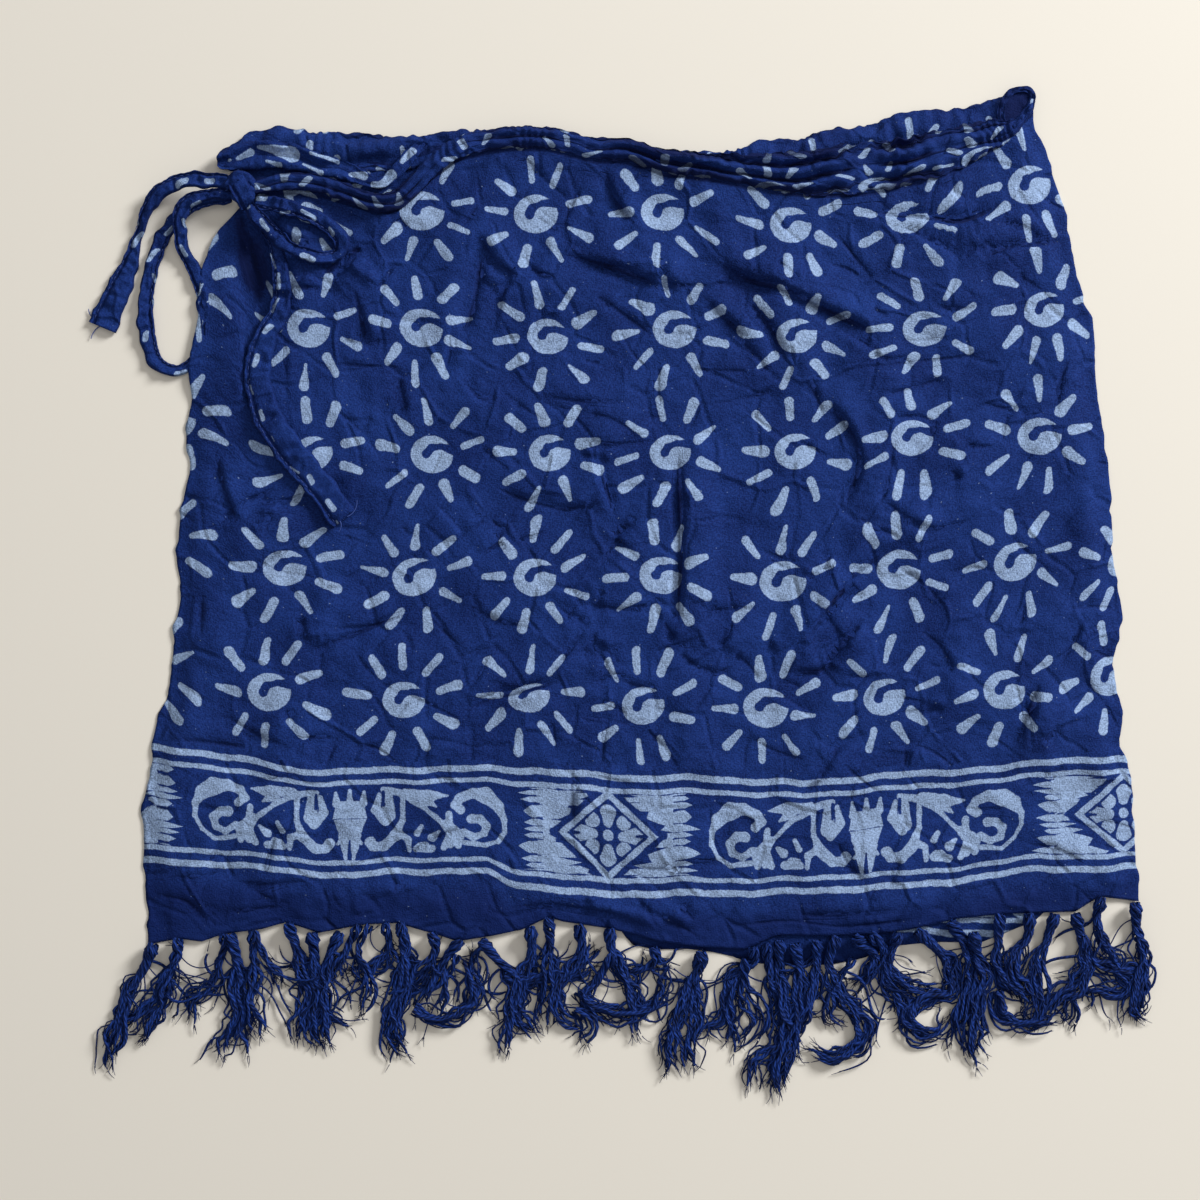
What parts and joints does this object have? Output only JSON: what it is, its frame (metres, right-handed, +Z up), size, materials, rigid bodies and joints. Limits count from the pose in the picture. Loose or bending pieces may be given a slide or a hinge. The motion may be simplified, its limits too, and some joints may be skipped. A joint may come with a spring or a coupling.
{
  "type": "batik wrap skirt",
  "caption": "Short batik wrap skirt of deep blue rayon with pale suns, a scroll border, a gathered waist casing, a side bow and a knotted hem fringe, laid flat.",
  "frame": {"origin": "on the surface that the skirt lies on, under the middle of its whole outline", "axes": "+X across the skirt to the viewer's right, +Y from hem to waist, +Z up from the surface"},
  "size_m": [0.5727, 0.544, 0.0156],
  "materials": {
    "batik_cloth": "plain-woven rayon, resist-dyed deep blue with pale blue motifs, soft low sheen",
    "under_cloth": "the same rayon where it lies beneath the front layer",
    "tie_cloth": "strips of the same rayon folded double and stitched along the edge",
    "fringe_yarn": "plied rayon yarn, dyed deep blue, frayed at the tips"
  },
  "bodies": {
    "root": {"back_panel": "under_cloth", "inner_panel": "under_cloth", "front_panel": "batik_cloth", "back_waistband": "batik_cloth", "inner_waistband": "batik_cloth", "front_waistband": "batik_cloth", "tie_knot": "tie_cloth", "tie_left_tail": "tie_cloth", "tie_left_loop": "tie_cloth", "tie_right_loop": "tie_cloth", "tie_right_tail": "tie_cloth", "front_fringe": "fringe_yarn", "back_fringe": "fringe_yarn"}
  },
  "joints": []
}
